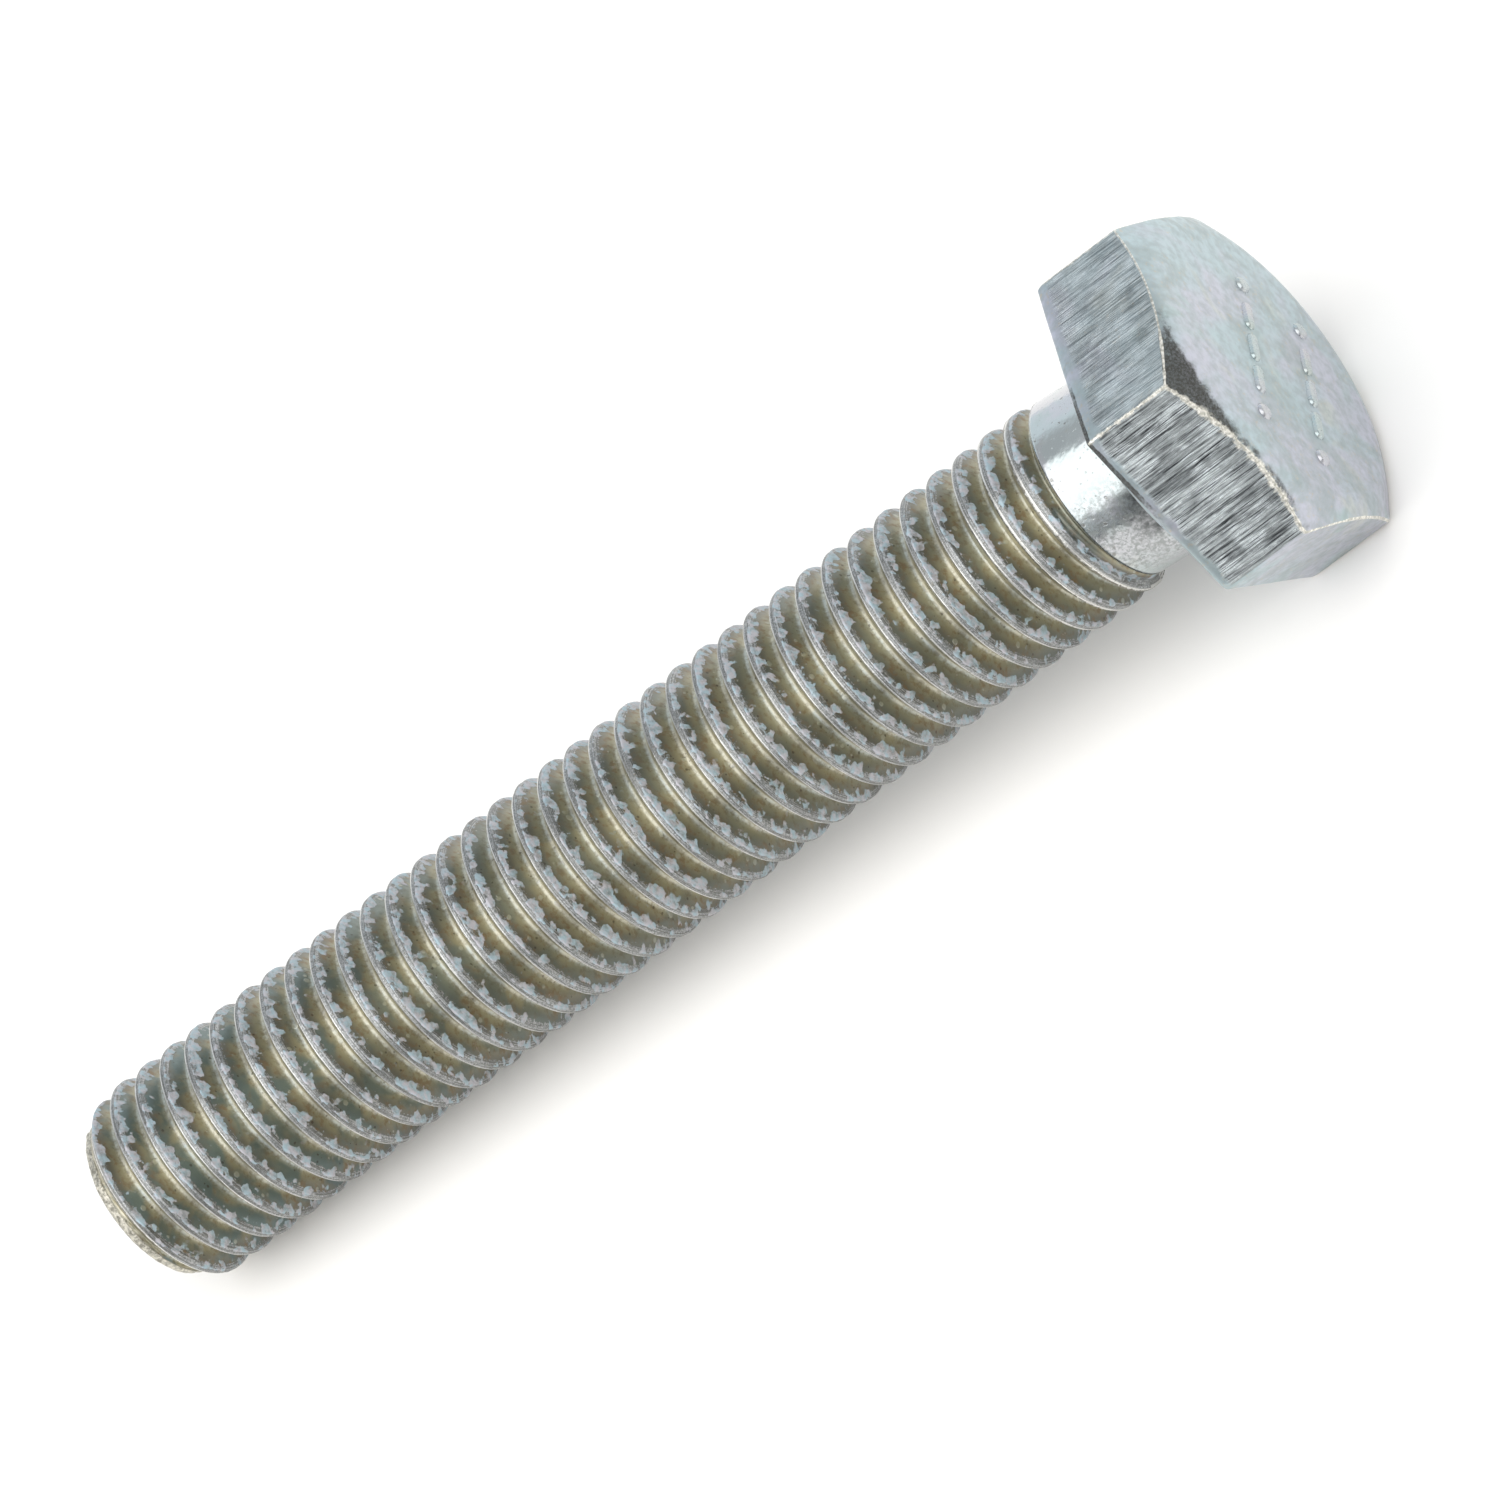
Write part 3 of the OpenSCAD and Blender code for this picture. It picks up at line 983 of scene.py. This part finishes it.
# %% Material: bearing ring
plated_ring, tree, shader, place = metal_material("plated_ring")
satin = place_group(tree, tints, Colour=(0.46, 0.52, 0.53), Patch_size=2.0, Strength=0.9)[0]
pits = place_group(tree, specks, Size=0.35, Share=0.25)[0]
pitted = mix_colours(tree, times(tree, pits, 0.5), satin, grey(0.2))
wire(tree, pitted, shader.inputs["Base Color"])
mottle = cloud(tree, place, 0.4, detail=4.0)
wire(tree, soft_step(tree, mottle, 0.3, 0.7, 0.3, 0.45), shader.inputs["Roughness"])
wire(tree, bumps(tree, maths(tree, "SUBTRACT", mottle, pits), 0.01), shader.inputs["Normal"])
coat(ring, plated_ring)

# %% [markdown]
# ## Bright neck
# The neck is the drawn wire, and the only mirror on the bolt. It stays smooth, with small
# pits. Towards the floor side it is clouded a darker grey. Beside the head it carries a
# painted dark reflection: the dim horizon band that it mirrors there, painted as a dark patch.

# %% Material: bright neck
bright_neck, tree, shader, place = metal_material("bright_neck")
drawn_wire = (0.53, 0.56, 0.555)
wire_colour = place_group(tree, tints, Colour=drawn_wire, Patch_size=1.6, Strength=0.5)[0]
pits = place_group(tree, specks, Size=0.22, Share=0.10)[0]
fine_pits = place_group(tree, specks, Size=0.10, Share=0.10)[0]
low_side = soft_step(tree, facing(tree, place, (0, -0.97, 0.25)), 2.6, 3.6)
clouded = times(tree, low_side, soft_step(tree, cloud(tree, place, 0.16, 5.0, 0.7), 0.4, 0.6))
colour = mix_colours(tree, times(tree, clouded, 0.75), wire_colour, (0.27, 0.29, 0.28))
colour = mix_colours(tree, times(tree, pits, 0.55), colour, (0.20, 0.19, 0.17))
colour = mix_colours(tree, times(tree, fine_pits, 0.35), colour, (0.25, 0.24, 0.22))
# A painted dark reflection beside the head: the dim horizon band that the neck mirrors there,
# painted into its colour as a dark patch
front = soft_step(tree, facing(tree, place, (0, -0.91, 0.42)), 3.46, 3.66)
dark_reflection_patch = times(tree, front, soft_step(tree, facing(tree, place, (1, 0, 0)), -2.1, -0.7))
patch_breakup = soft_step(tree, cloud(tree, place, 0.3, 4.0, 0.6), 0.3, 0.7, 0.5, 1.0)
colour = mix_colours(tree, times(tree, dark_reflection_patch, patch_breakup), colour, (0.07, 0.075, 0.075))
wire(tree, colour, shader.inputs["Base Color"])
haze = soft_step(tree, cloud(tree, place, 0.7, 4.0, 0.6), 0.35, 0.7, 0.13, 0.22)
wire(tree, maths(tree, "MULTIPLY_ADD", clouded, 0.16, haze), shader.inputs["Roughness"])
waver = cloud(tree, place, 0.5, 2.0)
pit_height = maths(tree, "SUBTRACT", 1.0, maths(tree, "MAXIMUM", pits, fine_pits))
normal = bumps(tree, waver, 0.02)
wire(tree, bumps(tree, pit_height, 0.006, normal), shader.inputs["Normal"])
coat(neck, bright_neck)

# %% [markdown]
# ## Rolled thread
# Only the crests have been touched since plating, so they are silver, with fine lines that
# follow the thread. On the point side's lip the lines are painted near white: a painted
# highlight of the bright strip overhead. The flanks keep a thick olive film with round pale
# specks. The film is painted lighter and golden down into the root, and the point-side flank
# cream near its root: painted highlights of the bright strip in the curved root, the golden
# one broken by brown grime. From the head side of each crest a pale blue bloom creeps down
# the flank in jagged tongues. The mesh carries where each point lies on the thread, so each
# of these is a band of that value.

# %% Material: rolled thread, colour
rolled_thread, tree, shader = new_material("rolled_thread")
place = place_in_mm(tree)
crest = from_mesh(tree, "crest")
headward = from_mesh(tree, "headward")
head_flank = soft_step(tree, headward, -0.25, 0.25)
drift = cloud(tree, place, 1.6, detail=3.0, distortion=0.5)
small = cloud(tree, place, 0.28, detail=4.0, roughness=0.6)
# The olive film is painted lighter towards the root: a painted highlight of the curved root
down_flank = soft_step(tree, crest, 0.5, -0.7)
olive = mix_colours(tree, down_flank, (0.19, 0.185, 0.155), (0.36, 0.34, 0.245))
brown = soft_step(tree, small, 0.48, 0.66, 0, 0.75)
olive = mix_colours(tree, brown, olive, (0.25, 0.18, 0.11))
teal = soft_step(tree, drift, 0.42, 0.60)
to_point = soft_step(tree, facing(tree, place, (1, 0, 0)), -24.0, -44.0, 0.35, 1.0)
olive = mix_colours(tree, times(tree, teal, to_point), olive, (0.17, 0.215, 0.21))
# Golden root: a painted highlight of the bright strip in the curved root, broken by brown grime
root = soft_step(tree, crest, -0.45, -0.92)
drifting = soft_step(tree, drift, 0.4, 0.6)
golden = mix_colours(tree, drifting, (0.50, 0.485, 0.39), (0.42, 0.45, 0.415))
grime = cloud(tree, place, 0.20, detail=4.0, roughness=0.7)
grime = soft_step(tree, grime, 0.42, 0.62, 0, 0.65)
golden = mix_colours(tree, grime, golden, (0.20, 0.18, 0.13))
flank = mix_colours(tree, times(tree, root, 0.9), olive, golden)
# The point-side flank is painted cream near its root and darker towards the crest: a painted
# highlight
up_flank = soft_step(tree, crest, -0.1, 0.5)
point_flank_highlight = mix_colours(tree, up_flank, (0.56, 0.53, 0.42), (0.20, 0.19, 0.16))
flank = mix_colours(tree, head_flank, point_flank_highlight, flank)
dots = place_group(tree, specks, Size=0.34, Share=0.20)[0]
flank = mix_colours(tree, times(tree, dots, 0.6), flank, (0.46, 0.47, 0.40))
dark_dots = place_group(tree, specks, Size=0.17, Share=0.10)[0]
flank = mix_colours(tree, times(tree, dark_dots, 0.6), flank, (0.07, 0.06, 0.05))
silver_fine = cloud(tree, place, 0.07, detail=3.0, roughness=0.7)
grainy = soft_step(tree, silver_fine, 0.35, 0.65)
silver = mix_colours(tree, grainy, (0.22, 0.23, 0.23), (0.54, 0.55, 0.55))
point_lip = soft_step(tree, headward, -0.30, -0.60)
# Fine lines that follow the thread: noise on the section's own place, hardly on the bolt's
across_section = 9.0
section = tree.nodes.new("ShaderNodeCombineXYZ")
wire(tree, times(tree, headward, across_section), section.inputs[0])
wire(tree, times(tree, crest, across_section), section.inputs[1])
follow = tree.nodes.new("ShaderNodeVectorMath")
follow.operation = "MULTIPLY_ADD"
wire(tree, place, follow.inputs[0])
follow.inputs[1].default_value = (0.35, 0.35, 0.35)
wire(tree, section.outputs[0], follow.inputs[2])
rolled = cloud(tree, follow.outputs[0], 0.9, detail=4.0, roughness=0.65)
rolled = soft_step(tree, rolled, 0.42, 0.58, 0.2, 1.0)
silver = mix_colours(tree, rolled, (0.13, 0.13, 0.12), silver)
# Near white on the point side's lip: a painted highlight of the bright strip overhead
silver = mix_colours(tree, times(tree, point_lip, rolled), silver, (0.84, 0.83, 0.79))
on_crest = place_group(tree, bloom, Coverage=soft_step(tree, crest, 0.40, 0.72), Grain=0.12)[0]
metal = mix_colours(tree, on_crest, flank, silver)
upper = soft_step(tree, facing(tree, place, (0, 0.30, 0.95)), -1.5, 3.2, 0.55, 0.74)
patchy = soft_step(tree, cloud(tree, place, 1.3, detail=2.0), 0.35, 0.65, 0.65, 1.2)
upper = times(tree, upper, patchy)
reach_down = soft_step(tree, crest, -0.35, 0.95)
coverage = times(tree, times(tree, reach_down, upper), head_flank)
coverage = times(tree, coverage, soft_step(tree, crest, 1.0, 0.9, 0.35, 1.0))
pale = place_group(tree, bloom, Coverage=coverage, Grain=0.42)[0]
thin = cloud(tree, place, 0.24, detail=4.0, roughness=0.6)
thin = soft_step(tree, thin, 0.32, 0.60, 0.5, 1.0)
pale = times(tree, pale, thin)
lilac = soft_step(tree, small, 0.40, 0.60)
pale_colour = mix_colours(tree, lilac, (0.40, 0.51, 0.56), (0.52, 0.51, 0.54))
wire(tree, mix_colours(tree, pale, metal, pale_colour), shader.inputs["Base Color"])
print("colour made with", len(tree.nodes), "nodes")

# %% Material: rolled thread, gloss and grain
wire(tree, blend(tree, pale, 1.0, 0.5), shader.inputs["Metallic"])
flank_rough = soft_step(tree, small, 0.3, 0.7, 0.34, 0.46)
rough = blend(tree, on_crest, flank_rough, blend(tree, point_lip, 0.40, 0.28))
rough = blend(tree, times(tree, root, head_flank), rough, 0.36)
wire(tree, blend(tree, pale, rough, 0.6), shader.inputs["Roughness"])
relief = maths(tree, "MULTIPLY_ADD", pale, 0.6, times(tree, dots, 0.5))
relief = maths(tree, "MULTIPLY_ADD", silver_fine, times(tree, on_crest, 0.35), relief)
normal = bumps(tree, relief, 0.02)
wire(tree, bumps(tree, small, 0.012, normal), shader.inputs["Normal"])
coat(thread, rolled_thread)

# %% [markdown]
# ## Burred point
# The rim is rubbed bright and warm on its high spots. The hollow end face keeps a dull
# grey-olive coat.

# %% Material: burred point
burred_point, tree, shader, place = metal_material("burred_point")
small = cloud(tree, place, 0.14, detail=4.0, roughness=0.65)
toward_end = facing(tree, place, (-1, 0, 0))
on_end = soft_step(tree, toward_end, -point_end - 0.10, -point_end + 0.02)
grainy = soft_step(tree, small, 0.35, 0.65)
warm = mix_colours(tree, grainy, (0.25, 0.24, 0.20), (0.70, 0.67, 0.58))
dull = place_group(tree, tints, Colour=(0.24, 0.25, 0.22), Patch_size=1.5, Strength=0.8)[0]
pits = place_group(tree, specks, Size=0.3, Share=0.3)[0]
dull = mix_colours(tree, times(tree, pits, 0.6), dull, grey(0.12))
wire(tree, mix_colours(tree, on_end, warm, dull), shader.inputs["Base Color"])
wire(tree, soft_step(tree, small, 0.3, 0.7, 0.28, 0.48), shader.inputs["Roughness"])
wire(tree, bumps(tree, small, 0.05), shader.inputs["Normal"])
coat(point, burred_point)

# %% [markdown]
# ## Raised marks
# The pads are the same satin as the top, rubbed a little brighter because they stand
# proud.

# %% Material: raised marks
raised_marks, tree, shader, place = metal_material("raised_marks")
satin = place_group(tree, tints, Colour=(0.46, 0.50, 0.49), Patch_size=3.0, Strength=0.9)[0]
small = cloud(tree, place, 0.2, detail=4.0, roughness=0.6)
worn = mix_colours(tree, soft_step(tree, small, 0.40, 0.70, 0, 0.4), satin, (0.62, 0.63, 0.60))
wire(tree, worn, shader.inputs["Base Color"])
wire(tree, soft_step(tree, small, 0.3, 0.7, 0.22, 0.34), shader.inputs["Roughness"])
wire(tree, bumps(tree, small, 0.01), shader.inputs["Normal"])
coat(marks, raised_marks)
